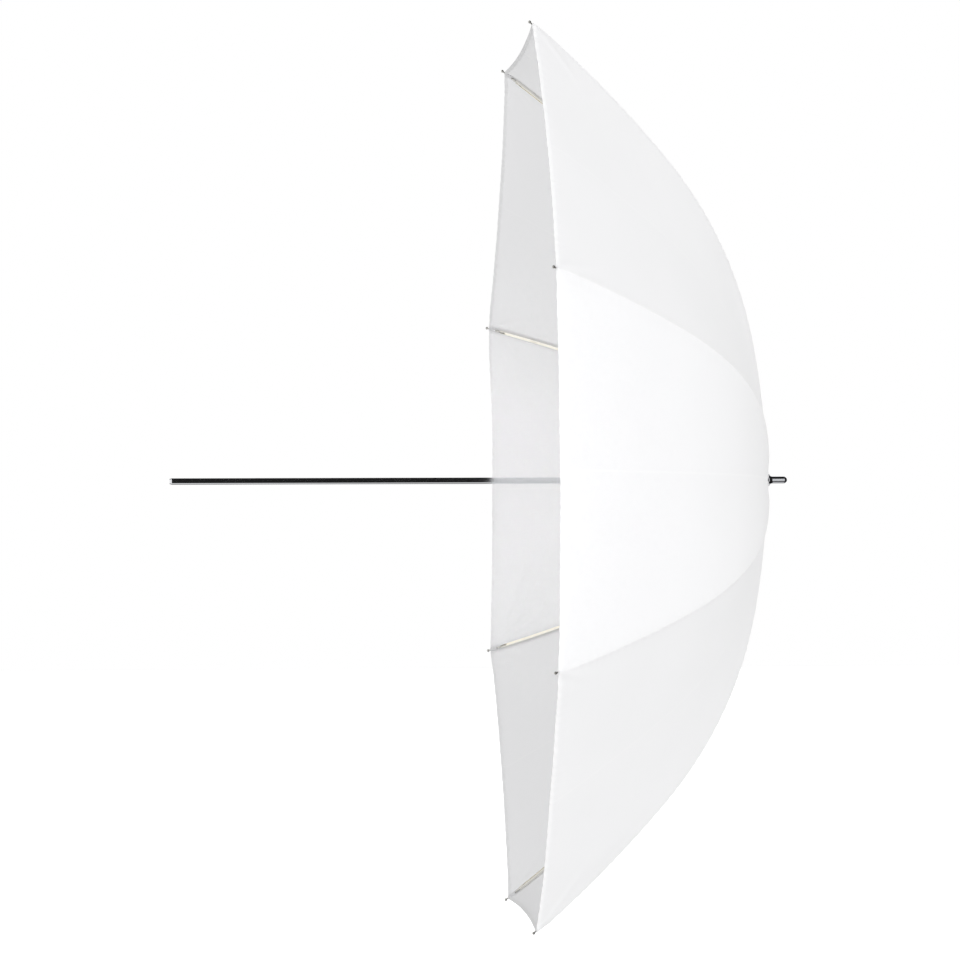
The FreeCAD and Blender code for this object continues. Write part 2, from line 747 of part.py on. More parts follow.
def cloth_section(scale, shorten, angle):
    """The closed band of cloth in one radial plane."""
    inner = cloth_line(scale, shorten, 0.0)
    outer = cloth_line(scale, shorten, mm["cloth_thickness"])
    start = Part.LineSegment(outer[0].Vertexes[0].Point, inner[0].Vertexes[0].Point).toShape()
    end = Part.LineSegment(inner[-1].Vertexes[-1].Point, outer[-1].Vertexes[-1].Point).toShape()
    band = Part.Wire(inner + [end] + outer[::-1] + [start])
    band.Placement = about_shaft(angle)
    return band


def make_canopy_panel(index, angle):
    """The cloth that one rib carries, from the middle of one gore to the middle of the next."""
    half = 180.0 / RIBS
    flat = math.cos(math.radians(half))
    edge = half - mm["panel_gap_angle"]
    sections = [
        cloth_section(flat, mm["hem_scallop"], -edge),
        cloth_section(1.0, 0.0, 0.0),
        cloth_section(flat, mm["hem_scallop"], edge),
    ]
    name = "canopy_panel_%d" % (index + 1)
    panel = doc.addObject("Part::Feature", name)
    panel.Label = name
    panel.Shape = Part.makeLoft(sections, True, True)
    panel.Placement = about_shaft(angle)


# --- build, check and write ---------------------------------------------------------------------

make_shaft()
make_crown()
make_finial()
make_runner()
make_catch()
for number in range(RIBS):
    turn = rib_angle(number)
    make_rib_inner(number, turn)
    make_rib_outer(number, turn)
    make_rib_tip(number, turn)
    make_saddle(number, turn)
    make_stretcher(number, turn)
    make_canopy_panel(number, turn)
doc.recompute()

for one in doc.Objects:
    if "Invalid" in one.State or "Error" in one.State:
        raise RuntimeError("%s failed: %s" % (one.Name, one.State))

PIECES = ("PartDesign::Body", "Part::Torus", "Part::Cylinder", "Part::Feature")
os.makedirs("parts", exist_ok=True)
pieces = [one for one in doc.Objects if one.TypeId in PIECES]
for piece in pieces:
    if piece.Shape.isNull() or not piece.Shape.isValid() or len(piece.Shape.Solids) != 1:
        raise RuntimeError("%s is not one valid solid" % piece.Label)
for piece in pieces:
    piece.Shape.exportStep("parts/%s.step" % piece.Label)
print("%d pieces, runner at %.3f, tip at %.3f, %.3f" % (len(pieces), RUNNER_X, *rib_point(RIB_LENGTH)[:2]))
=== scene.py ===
"""White translucent studio umbrella, open on its side: cloth on eight sprung ribs and a bright steel shaft.

Metres. The shaft lies along X with its free end at the origin, and the crown and finial are at +X. +Z is up.
"""
import json
import math

import bpy
import numpy as np
from mathutils import Matrix, Vector, noise


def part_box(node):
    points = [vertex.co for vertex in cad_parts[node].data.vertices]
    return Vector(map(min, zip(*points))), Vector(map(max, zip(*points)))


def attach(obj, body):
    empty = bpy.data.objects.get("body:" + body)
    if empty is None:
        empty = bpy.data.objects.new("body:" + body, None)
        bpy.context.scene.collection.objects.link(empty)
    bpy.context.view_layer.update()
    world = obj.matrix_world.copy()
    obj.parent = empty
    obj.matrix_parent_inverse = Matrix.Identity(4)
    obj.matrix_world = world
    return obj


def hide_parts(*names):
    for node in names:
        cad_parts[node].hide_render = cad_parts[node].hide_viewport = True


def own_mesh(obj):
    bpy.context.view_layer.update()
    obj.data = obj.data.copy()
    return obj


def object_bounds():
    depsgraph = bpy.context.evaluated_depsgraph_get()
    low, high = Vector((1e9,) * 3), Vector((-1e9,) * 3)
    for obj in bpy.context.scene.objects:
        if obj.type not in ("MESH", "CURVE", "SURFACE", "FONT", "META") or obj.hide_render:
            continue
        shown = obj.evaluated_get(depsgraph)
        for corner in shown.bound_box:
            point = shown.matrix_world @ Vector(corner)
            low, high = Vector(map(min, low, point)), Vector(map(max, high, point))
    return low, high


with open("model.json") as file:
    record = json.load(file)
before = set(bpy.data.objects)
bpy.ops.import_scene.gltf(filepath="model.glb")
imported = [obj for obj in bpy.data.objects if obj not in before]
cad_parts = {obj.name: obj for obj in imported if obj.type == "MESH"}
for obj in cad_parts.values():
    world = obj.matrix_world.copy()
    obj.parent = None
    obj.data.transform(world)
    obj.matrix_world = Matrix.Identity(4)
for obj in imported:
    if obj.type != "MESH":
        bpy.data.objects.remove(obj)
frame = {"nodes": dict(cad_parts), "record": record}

cad_low, cad_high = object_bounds()

RIBS = 8
HALF_GORE = math.pi / RIBS

# The rib's line, from the crown's hinge outward.
wire_low, wire_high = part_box("crown_wire")
HINGE_X = (wire_low.x + wire_high.x) / 2
HINGE_RADIUS = 0.0065
RIB_START_SLOPE = math.radians(2.0)
RIB_ARCS = ((0.006, 0.0), (0.194, 15.5), (0.200, 23.0), (0.1875, 7.75), (1.0, 0.0))
RIB_SPLIT = 0.2555
CHANNEL_END = 0.5875
TIP_BALL = CHANNEL_END + 0.021

# The cloth.
APEX_X = HINGE_X + 0.0056
APEX_RADIUS = 0.005
APEX_ARC = 0.200
STAND_OFF = 0.0028
RIM_AT_RIB = 0.6055
TIP_STAND_OFF = 0.0010
DRAWN_IN = 0.018
SCALLOP = 0.0046
SAG = 0.0045
SAG_LENGTH = 0.62
SAG_FULLNESS = 0.7
HEM_DEPTH = 0.0042


# --- the rib's line and the cloth over it ---------------------------------------------------------

def smooth_step(value, low, high):
    share = np.clip((value - low) / (high - low), 0.0, 1.0)
    return share * share * (3 - 2 * share)


def along_rib(distance):
    """X, radius and slope of the rib's line at distances from the crown's hinge."""
    left = np.array(distance, float)
    x = np.full_like(left, HINGE_X)
    radius = np.full_like(left, HINGE_RADIUS)
    slope = np.full_like(left, RIB_START_SLOPE)
    for length, bend in RIB_ARCS:
        step = np.minimum(left, length)
        turn = math.radians(bend) * step / length
        chord = step * np.sinc(turn / 2 / math.pi)
        x -= chord * np.sin(slope + turn / 2)
        radius += chord * np.cos(slope + turn / 2)
        slope += turn
        left -= step
    return x, radius, slope


def cloth_over_rib(distance):
    """X, radius and slope of the cloth over a rib: first an arc from the apex to the rib, then the rib's own line.

    The corner of the cloth is drawn in to the rib's tip.
    """
    x, radius, slope = along_rib(distance)
    drawn = smooth_step(distance, RIM_AT_RIB - DRAWN_IN, RIM_AT_RIB)
    stand_off = STAND_OFF + (TIP_STAND_OFF - STAND_OFF) * drawn
    over_x = x + stand_off * np.cos(slope)
    over_radius = radius + stand_off * np.sin(slope)
    rib_x, rib_radius, join_slope = along_rib(APEX_ARC)
    join_x = rib_x + STAND_OFF * np.cos(join_slope)
    join_radius = rib_radius + STAND_OFF * np.sin(join_slope)
    fall, reach = APEX_X - join_x, join_radius - APEX_RADIUS
    bend = 2 * (join_slope - math.atan2(fall, reach))
    arc_radius = math.hypot(fall, reach) / 2 / math.sin(bend / 2)
    turned = bend * np.minimum(distance / APEX_ARC, 1.0)
    heading = join_slope - bend + turned / 2
    step = 2 * arc_radius * np.sin(turned / 2)
    near = distance < APEX_ARC
    return (
        np.where(near, APEX_X - step * np.sin(heading), over_x),
        np.where(near, APEX_RADIUS + step * np.cos(heading), over_radius),
        np.where(near, join_slope - bend + turned, slope),
    )


def rib_directions(number):
    """Outward and sideways unit vectors of a rib's plane. Rib 1 is the near one at the top."""
    angle = (number - 0.5) * 2 * HALF_GORE
    outward = np.array([0.0, -math.sin(angle), math.cos(angle)])
    sideways = np.array([0.0, -math.cos(angle), -math.sin(angle)])
    return outward, sideways


ALONG = np.array([1.0, 0.0, 0.0])


# --- wrinkles -------------------------------------------------------------------------------------

# Tension creases that run from a rib's tip into a gore:
# rib, side, heading off the rib, bend back towards it, length, height.
TIP_CREASES = (
    (6, 1, 0.42, 0.9, 0.150, 0.0016),
    (6, 1, 0.80, 1.4, 0.120, 0.0013),
    (6, 1, 1.12, 0.6, 0.075, 0.0009),
    (6, -1, 0.55, 0.8, 0.090, 0.0008),
    (7, 1, 0.60, 0.7, 0.080, 0.0009),
    (7, -1, 0.50, 0.6, 0.070, 0.0010),
    (7, -1, 0.95, 0.5, 0.050, 0.0007),
    (2, -1, 0.50, 0.4, 0.090, 0.0008),
    (2, -1, 0.85, 0.5, 0.070, 0.0007),
    (2, 1, 0.65, 0.5, 0.080, 0.0006),
    (3, 1, 0.55, 0.6, 0.060, 0.0008),
    (3, -1, 0.75, 0.5, 0.060, 0.0006),
    (1, 1, 0.60, 0.5, 0.080, 0.0007),
    (4, -1, 0.60, 0.5, 0.090, 0.0007),
    (5, 1, 0.70, 0.6, 0.080, 0.0008),
    (8, -1, 0.60, 0.5, 0.080, 0.0007),
)
CREASE_WIDTH = 0.0040
CREASE_WIDENS = 1.5
CREASE_LIFT = 1.15
# Broad waves: how close together, and how high.
BROAD_WAVES = ((5.5, 0.0020), (14.0, 0.0008))
WAVES_FULL_FROM = 0.25
HELD_BY_RIB = 0.035
# The dip beside the crown, and where along the rib it sets in and runs out.
CROWN_DIP = 0.0017
DIP_SETS_IN = (0.004, 0.025)
DIP_RUNS_OUT = (0.08, 0.20)
# Puckers beside the sewing. They drift in and out of step along it: by how much, and how often.
PUCKER_PITCH = 0.013
PUCKER_HEIGHT = 0.00028
PUCKER_REACH = 0.006
SEAM_DRIFT = (3.0, 41.0)
RIM_DRIFT = (2.0, 57.0)
RIM_PUCKERS_CLOSER = 0.9
RIM_PUCKERS_HIGHER = 1.4
# How far apart the points stand that give a normal: along the rib, and as a share of the half gore.
NORMAL_STEP = 0.0006
NORMAL_SHARE = 0.004


def smooth_noise(points, scale):
    return np.array([noise.noise(Vector(one) * scale) for one in points])


def tip_creases(number, side, from_rim, from_seam):
    """Narrow ridges that fan out from the rib's tip and fade into the gore."""
    height = np.zeros_like(from_rim)
    for rib, rib_side, heading, bend, length, rise in TIP_CREASES:
        if (rib, rib_side) != (number, side):
            continue
        share = np.clip(from_rim / length, 0.0, 1.0)
        line = from_rim * math.tan(heading) * (1.0 - bend * share / 2)
        width = CREASE_WIDTH * (1.0 + CREASE_WIDENS * share) / math.cos(heading)
        fade = np.sin(math.pi * np.sqrt(share)) * (from_rim < length)
        height += CREASE_LIFT * rise * fade * np.exp(-((from_seam - line) / width) ** 2)
    return height


def wrinkles(number, side, points, distance, from_seam, from_rim):
    """How far the cloth stands off its smooth shape."""
    spread = np.clip(distance / WAVES_FULL_FROM, 0.0, 1.0)
    free = smooth_step(from_seam, 0.0, HELD_BY_RIB)
    height = -CROWN_DIP * smooth_step(distance, *DIP_SETS_IN) * (1 - smooth_step(distance, *DIP_RUNS_OUT))
    for scale, rise in BROAD_WAVES:
        height += rise * spread * free * smooth_noise(points, scale)
    drift = SEAM_DRIFT[0] * np.sin(distance * SEAM_DRIFT[1] + number)
    seam_wave = np.sin(2 * math.pi * distance / PUCKER_PITCH + drift)
    height += PUCKER_HEIGHT * spread * seam_wave * np.exp(-from_seam / PUCKER_REACH)
    drift = RIM_DRIFT[0] * np.sin(from_seam * RIM_DRIFT[1] + number * side)
    rim_wave = np.sin(2 * math.pi * from_seam / PUCKER_PITCH * RIM_PUCKERS_CLOSER + drift)
    height += PUCKER_HEIGHT * RIM_PUCKERS_HIGHER * rim_wave * np.exp(-from_rim / PUCKER_REACH)
    return height + tip_creases(number, side, from_rim, from_seam)


def rim_distance(across):
    """How far along the rib the rim stands, which is drawn in between the ribs."""
    return RIM_AT_RIB - SCALLOP * (1 - (1 - across) ** 2)


def cloth_surface(number, side, distance, across):
    """Points of half a gore, and how far each is from the seam, the rim and the gore's middle.

    across runs from 0 at the rib's seam to 1 in the middle of the gore.
    """
    outward, sideways = rib_directions(number)
    x, radius, slope = cloth_over_rib(distance)
    half_width = radius * math.cos(HALF_GORE) * math.sin(HALF_GORE)
    off = across * half_width
    plane = radius - off * math.tan(HALF_GORE)
    points = np.outer(x, ALONG) + np.outer(plane, outward) + np.outer(side * off, sideways)
    middle = math.cos(HALF_GORE) * outward + side * math.sin(HALF_GORE) * sideways
    steep = np.arctan(np.tan(slope) / math.cos(HALF_GORE))
    normal = np.outer(np.cos(steep), ALONG) + np.outer(np.sin(steep), middle)
    from_seam = off / math.cos(HALF_GORE)
    from_rim = np.maximum(rim_distance(across) - distance, 0.0)
    from_middle = half_width / math.cos(HALF_GORE) - from_seam
    hollow = np.sin(math.pi * np.clip(distance / SAG_LENGTH, 0, 1)) ** SAG_FULLNESS
    height = wrinkles(number, side, points, distance, from_seam, from_rim) - SAG * (2 * across - across ** 2) * hollow
    return points + normal * height[:, None], from_seam, from_rim, from_middle


def cloth_normals(number, side, distance, across):
    """Outward normals of the surface, the same on both sides of any join but a seam."""
    ahead = cloth_surface(number, side, distance + NORMAL_STEP, across)[0]
    behind = cloth_surface(number, side, np.maximum(distance - NORMAL_STEP, 0.0), across)[0]
    left = cloth_surface(number, side, distance, np.maximum(across - NORMAL_SHARE, 0.0))[0]
    right = cloth_surface(number, side, distance, np.minimum(across + NORMAL_SHARE, 1.0))[0]
    normal = np.cross(right - left, ahead - behind) * side
    length = np.linalg.norm(normal, axis=1, keepdims=True)
    normal = normal / np.maximum(length, 1e-12)
    return np.where(normal[:, :1] < 0, -normal, normal)


# --- making pieces --------------------------------------------------------------------------------

def new_piece(name, points, faces, finish, normals=None, marks=None):
    """A smooth mesh piece. marks are named vectors at its points, which its finish reads."""
    mesh = bpy.data.meshes.new(name)
    mesh.from_pydata([tuple(one) for one in points], [], faces)
    mesh.shade_smooth()
    for mark, values in (marks or {}).items():
        written = mesh.attributes.new(mark, "FLOAT_VECTOR", "POINT")
        written.data.foreach_set("vector", np.asarray(values, np.float32).ravel())
    if normals is not None:
        mesh.normals_split_custom_set_from_vertices([tuple(one) for one in normals])
    mesh.materials.append(finish)
    piece = bpy.data.objects.new(name, mesh)
    bpy.context.scene.collection.objects.link(piece)
    return piece


def grid_faces(rows, columns, turned):
    """Quads of a grid of points, laid row by row."""
    faces = []
    for row in range(rows - 1):
        for column in range(columns - 1):
            corner = row * columns + column
            quad = (corner, corner + 1, corner + columns + 1, corner + columns)
            faces.append(quad[::-1] if turned else quad)
    return faces


# --- finishes -------------------------------------------------------------------------------------

class Reading:
    """A number or colour that changes over a surface. Arithmetic on it adds Math nodes."""

    def __init__(self, finish, socket):
        self.finish = finish
        self.socket = socket

    def _maths(self, operation, first, second):
        return self.finish.add("Math", {"operation": operation}, {0: first, 1: second})

    def __add__(self, other):
        return self._maths("ADD", self, other)

    def __sub__(self, other):
        return self._maths("SUBTRACT", self, other)

    def __rsub__(self, other):
        return self._maths("SUBTRACT", other, self)

    def __mul__(self, other):
        return self._maths("MULTIPLY", self, other)

    def __lt__(self, other):
        return self._maths("LESS_THAN", self, other)

    __radd__ = __add__
    __rmul__ = __mul__


class Finish:
    """A material or a world being put together from nodes."""

    def __init__(self, holder):
        self.holder = holder
        self.holder.use_nodes = True
        self.tree = holder.node_tree
        self.tree.nodes.clear()

    @classmethod
    def named(cls, name):
        return cls(bpy.data.materials.new(name))

    def add(self, kind, settings=None, inputs=None, out=0):
        """A node of any type, its settings set first and then its sockets, and one of its outputs."""
        node = self.tree.nodes.new("ShaderNode" + kind)
        for name, value in (settings or {}).items():
            setattr(node, name, value)
        for name, value in (inputs or {}).items():
            if isinstance(value, Reading):
                self.tree.links.new(value.socket, node.inputs[name])
            else:
                node.inputs[name].default_value = value
        return None if out is None else Reading(self, node.outputs[out])

    def tint(self, share, first, second):
        """A colour between two, by share."""
        return self.add("Mix", {"data_type": "RGBA"}, {0: share, 6: first, 7: second}, out=2)

    def step(self, value, low, high):
        """0 below low and 1 above high, with a smooth rise between them."""
        limits = {"Value": value, "From Min": low, "From Max": high}
        return self.add("MapRange", {"interpolation_type": "SMOOTHSTEP"}, limits)

    def parts(self, vector):
        """The three numbers of a vector."""
        split = self.add("SeparateXYZ", None, {0: vector})
        return [Reading(self, one) for one in split.socket.node.outputs]

    def done(self, surface, output="OutputMaterial"):
        self.add(output, None, {"Surface": surface}, out=None)
        return self.holder


def rgb(red, green, blue):
    return (red, green, blue, 1.0)


# Where the doubled cloth ends beside a seam and a hem, and the pressed crease in a gore's middle, whose line is also
# painted lighter as a painted highlight along its fold.
SEAM_EDGE = (0.0026, 0.0034)
HEM_EDGE = (HEM_DEPTH, HEM_DEPTH + 0.0006)
CREASE_AND_HIGHLIGHT_EDGE = (0.0006, 0.0016)
THREADS = 7800.0
STITCHES = 380.0
STITCH_SHARE = 0.62
STITCH_HALF_WIDTH = 0.00022
SEAM_STITCH_LINE = 0.0021
HEM_STITCH_LINE = 0.0033


def stitches(finish, along, off_edge, line):
    """1 on the stitches of a line sewn beside an edge, and 0 between them."""
    dash = finish.add("Math", {"operation": "FRACT"}, {0: along * STITCHES}) < STITCH_SHARE
    on_line = finish.add("Math", {"operation": "ABSOLUTE"}, {0: off_edge - line}) < STITCH_HALF_WIDTH
    return dash * on_line


def umbrella_cloth():
    """White nylon taffeta: thin, a little glossy, and lit through from behind. Hems are denser. The pressed crease in
    a gore's middle gets a painted highlight: its line is painted whiter.
    """
    finish = Finish.named("umbrella_cloth")
    lay = finish.add("Attribute", {"attribute_name": "lay"}, out="Vector")
    weave = finish.add("Attribute", {"attribute_name": "weave"}, out="Vector")
    from_seam, from_rim, from_middle = finish.parts(lay)
    warp, weft = finish.parts(weave)[:2]
    seam = 1 - finish.step(from_seam, *SEAM_EDGE)
    hem = 1 - finish.step(from_rim, *HEM_EDGE)
    crease_and_painted_highlight = 1 - finish.step(from_middle, *CREASE_AND_HIGHLIGHT_EDGE)
    cloud = finish.add("TexNoise", None, {"Vector": weave, "Scale": 9.0, "Detail": 4.0, "Roughness": 0.6})
    slub = finish.add("TexNoise", None, {"Vector": weave, "Scale": 620.0, "Detail": 2.0})
    warp_thread = finish.add("Math", {"operation": "SINE"}, {0: warp * THREADS})
    weft_thread = finish.add("Math", {"operation": "SINE"}, {0: weft * THREADS})
    thread = warp_thread * weft_thread
    sewn = stitches(finish, weft, from_seam, SEAM_STITCH_LINE) + stitches(finish, warp, from_rim, HEM_STITCH_LINE)
    tone = finish.tint(cloud, rgb(0.925, 0.925, 0.930), rgb(0.955, 0.955, 0.959))
    tone = finish.tint(seam * 0.6, tone, rgb(0.970, 0.970, 0.970))
    tone = finish.tint(hem, tone, rgb(0.985, 0.985, 0.985))
    # painted highlight: the pressed crease in the gore's middle is painted whiter, as if its fold caught the light
    tone = finish.tint(crease_and_painted_highlight * 0.45, tone, rgb(0.995, 0.995, 0.990))
    tone = finish.tint(sewn * 0.5, tone, rgb(0.80, 0.80, 0.81))
    height = thread * 0.00002 + slub * 0.00003 + seam * 0.0002 + crease_and_painted_highlight * 0.00005 - sewn * 0.00015
    relief = finish.add("Bump", None, {"Strength": 0.35, "Distance": 1.0, "Height": height})
    front = finish.add("BsdfPrincipled", None, {
        "Base Color": tone,
        "Roughness": 0.50 + cloud * 0.12,
        "Specular IOR Level": 0.35,
        "Sheen Weight": 0.15,
        "Sheen Roughness": 0.4,
        "Normal": relief,
    })
    through = finish.add("BsdfTranslucent", None, {"Color": rgb(0.95, 0.95, 0.955), "Normal": relief})
    thin = 0.30 - hem * 0.08
    return finish.done(finish.add("MixShader", None, {0: thin, 1: front, 2: through}))


def bright_metal(name, colour, dull, roughness, mottle, relief_height):
    """Plated metal, with faint drawn marks, handling haze and duller spots."""
    finish = Finish.named(name)
    place = finish.add("TexCoord", out="Object")
    haze = finish.add("TexNoise", None, {"Vector": place, "Scale": 38.0, "Detail": 5.0, "Roughness": 0.65})
    fine = finish.add("TexNoise", None, {"Vector": place, "Scale": 900.0, "Detail": 3.0})
    spots = finish.step(haze, 0.52, 0.75)
    tone = finish.tint(spots * mottle, rgb(*colour), rgb(*dull))
    relief = finish.add("Bump", None, {"Strength": 0.3, "Distance": 1.0, "Height": fine * relief_height})
    return finish.done(finish.add("BsdfPrincipled", None, {
        "Base Color": tone,
        "Metallic": 1.0,
        "Roughness": roughness + spots * 0.10 + fine * 0.04,
        "Normal": relief,
    }))


def drawn_tube(name, colour, dull, roughness):
    """Chrome on a drawn tube: very smooth, with hair lines along it and a few scuffs round it."""
    finish = Finish.named(name)
    place = finish.add("TexCoord", out="Object")
    long_way = finish.add("Mapping", None, {"Vector": place, "Scale": (6.0, 900.0, 900.0)})
    round_way = finish.add("Mapping", None, {"Vector": place, "Scale": (700.0, 30.0, 30.0)})
    hair = finish.add("TexNoise", None, {"Vector": long_way, "Scale": 1.0, "Detail": 3.0})
    scuff = finish.add("TexNoise", None, {"Vector": round_way, "Scale": 1.0, "Detail": 4.0, "Roughness": 0.7})
    haze = finish.add("TexNoise", None, {"Vector": place, "Scale": 22.0, "Detail": 4.0})
    worn = finish.step(scuff, 0.60, 0.80)
    tone = finish.tint(worn * 0.5, rgb(*colour), rgb(*dull))
    relief = finish.add("Bump", None, {"Strength": 0.2, "Distance": 1.0, "Height": hair * 0.00001})
    return finish.done(finish.add("BsdfPrincipled", None, {
        "Base Color": tone,
        "Metallic": 1.0,
        "Roughness": roughness + worn * 0.12 + finish.step(haze, 0.45, 0.8) * 0.05 + hair * 0.02,
        "Normal": relief,
    }))


def moulded_nylon(name, colour, pale, roughness):
    """Moulded plastic with a fine grain and slightly rubbed high spots."""
    finish = Finish.named(name)
    place = finish.add("TexCoord", out="Object")
    grain = finish.add("TexNoise", None, {"Vector": place, "Scale": 1400.0, "Detail": 2.0})
    cloud = finish.add("TexNoise", None, {"Vector": place, "Scale": 120.0, "Detail": 4.0})
    edge = finish.add("NewGeometry", out="Pointiness")
    rubbed = finish.step(edge, 0.52, 0.60)
    tone = finish.tint(cloud * 0.4 + rubbed * 0.3, rgb(*colour), rgb(*pale))
    relief = finish.add("Bump", None, {"Strength": 0.3, "Distance": 1.0, "Height": grain * 0.00004})
    return finish.done(finish.add("BsdfPrincipled", None, {
        "Base Color": tone,
        "Roughness": roughness + cloud * 0.15,
        "Normal": relief,
    }))


CLOTH = umbrella_cloth()
# The record's slots: each finish's name, its colour, the colour of its duller or paler spots, and its roughness.
# Bright metal also has how far its spots show, and how high its grain stands.
FINISHES = {
    "chrome_tube": drawn_tube("polished_tube", (0.80, 0.81, 0.83), (0.55, 0.55, 0.56), 0.05),
    "chrome_cap": drawn_tube("polished_cap", (0.62, 0.63, 0.66), (0.42, 0.42, 0.44), 0.07),
    "chrome_sleeve": drawn_tube("polished_sleeve", (0.78, 0.79, 0.80), (0.52, 0.52, 0.53), 0.09),
    "nickel_channel": bright_metal("nickel_rib", (0.97, 0.95, 0.89), (0.78, 0.75, 0.68), 0.17, 0.4, 0.00002),
    "tip_metal": bright_metal("turned_tip", (0.58, 0.57, 0.54), (0.38, 0.37, 0.34), 0.14, 0.5, 0.00002),
    "saddle_steel": bright_metal("pressed_clip", (0.70, 0.69, 0.66), (0.48, 0.46, 0.43), 0.28, 0.6, 0.00004),
    "spring_wire": bright_metal("bright_wire", (0.66, 0.66, 0.65), (0.45, 0.44, 0.42), 0.25, 0.5, 0.00003),
    "rivet_steel": bright_metal("plated_pin", (0.62, 0.62, 0.62), (0.44, 0.44, 0.43), 0.30, 0.5, 0.00003),
    "catch_steel": bright_metal("spring_leaf", (0.58, 0.58, 0.59), (0.40, 0.39, 0.38), 0.30, 0.6, 0.00004),
    "crown_nylon": moulded_nylon("black_nylon", (0.022, 0.022, 0.025), (0.070, 0.070, 0.075), 0.42),
    "plug_nylon": moulded_nylon("black_plug", (0.020, 0.020, 0.022), (0.060, 0.060, 0.062), 0.50),
    "washer_nylon": moulded_nylon("white_washer", (0.78, 0.78, 0.76), (0.86, 0.86, 0.85), 0.45),
}


def finish_cad_nodes():
    """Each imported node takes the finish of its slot."""
    for part in frame["record"]["subparts"]:
        node = frame["nodes"][part["node"]]
        finish = FINISHES.get(part["material_slot"], CLOTH)
        if not node.material_slots:
            node.data.materials.append(finish)
        for holder in node.material_slots:
            holder.material = finish


# --- the canopy -----------------------------------------------------------------------------------

ROW_PITCH = 0.0042
SEAM_HALF_WIDTH = 0.0050
INNER_COLUMNS = 26
OUTER_COLUMNS = 44
RIM_STEP = 0.001
# How the hem turns in: a step along the cloth and a step off it, for each row past the rim.
HEM_TURN = ((0.0002, -0.0002), (0.0001, -0.0005), (-0.0006, -0.0006), (-HEM_DEPTH, -0.0006))

# How each gore's weave is set off from the next one's, and one half's from the other's.
GORE_SHIFT = 0.37
SIDE_SHIFT = 0.11


def cut_area(points, faces):
    """The area of a sheet's quads."""
    corners = points[np.array(faces)]
    first = np.cross(corners[:, 1] - corners[:, 0], corners[:, 2] - corners[:, 0])
    second = np.cross(corners[:, 2] - corners[:, 0], corners[:, 3] - corners[:, 0])
    return float((np.linalg.norm(first, axis=1) + np.linalg.norm(second, axis=1)).sum() / 2)


def gathers(piece, start, end):
    """Gives the half gore a mesh of its own. The cloth's line at start and end is worked out but not used."""
    x, radius, slope = cloth_over_rib(np.array([start, end]))
    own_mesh(piece)


def half_gore(number, side, part):
    """Half of one gore, from a rib's seam to the gore's middle, on the rib's inner or outer half."""
    columns = INNER_COLUMNS if part == "inner" else OUTER_COLUMNS
    share = np.linspace(0.0, 1.0, columns)
    start = 0.0 if part == "inner" else RIB_SPLIT
    end = np.full(columns, RIB_SPLIT) if part == "inner" else rim_distance(share)
    rows = int((end[0] - start) / ROW_PITCH) + 1
    distance = (start + np.outer(np.linspace(0.0, 1.0, rows), end - start)).ravel()
    across = np.tile(share, rows)
    points, from_seam, from_rim, from_middle = cloth_surface(number, side, distance, across)
    normals = cloth_normals(number, side, distance, across)
    layers = [(points, normals, from_seam, from_rim, from_middle, distance)]
    if part == "outer":
        edge, edge_normals = points[-columns:], normals[-columns:]
        down = cloth_surface(number, side, distance[-columns:] - RIM_STEP, share)[0]
        way = edge - down
        way = way / np.linalg.norm(way, axis=1, keepdims=True)
        turned = (way, way - edge_normals, -edge_normals, -edge_normals)
        for (step, drop), facing in zip(HEM_TURN, turned):
            layers.append((
                edge + way * step + edge_normals * drop, facing, from_seam[-columns:],
                np.full(columns, max(-step, 0.0)), from_middle[-columns:], distance[-columns:] + step,
            ))
    points, normals, from_seam, from_rim, from_middle, distance = (
        np.concatenate([layer[part_of] for layer in layers]) for part_of in range(6)
    )
    name = "cloth_%s_%d_%s" % (part, number, "a" if side > 0 else "b")
    faces = grid_faces(len(points) // columns, columns, side > 0)
    gore_shift = number * GORE_SHIFT + side * SIDE_SHIFT
    piece = new_piece(name, points, faces, CLOTH, normals, {
        "lay": np.stack([from_seam, from_rim, from_middle], axis=1),
        "weave": np.stack([from_seam, distance, np.full(len(points), gore_shift)], axis=1),
    })
    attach(piece, "rib_%s_%d" % (part, number))
    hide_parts("canopy_panel_%d" % number)
    gathers(piece, start, float(end[0]))
    width, length = float(from_seam.max()), float(distance.max() - distance.min())
    area = min(cut_area(points, faces), width * length)


# The seam band: where it runs from and to along the rib, its points across, how narrow it is near the crown,
# and how high its middle and its edges lie on the cloth.
SEAM_SPANS = {"inner": (0.006, RIB_SPLIT), "outer": (RIB_SPLIT, RIM_AT_RIB - 0.001)}
SEAM_POINTS = 9
SEAM_NEAR_CROWN = 0.3
SEAM_LIFT = 0.00045
SEAM_EDGE_DROP = 0.00040


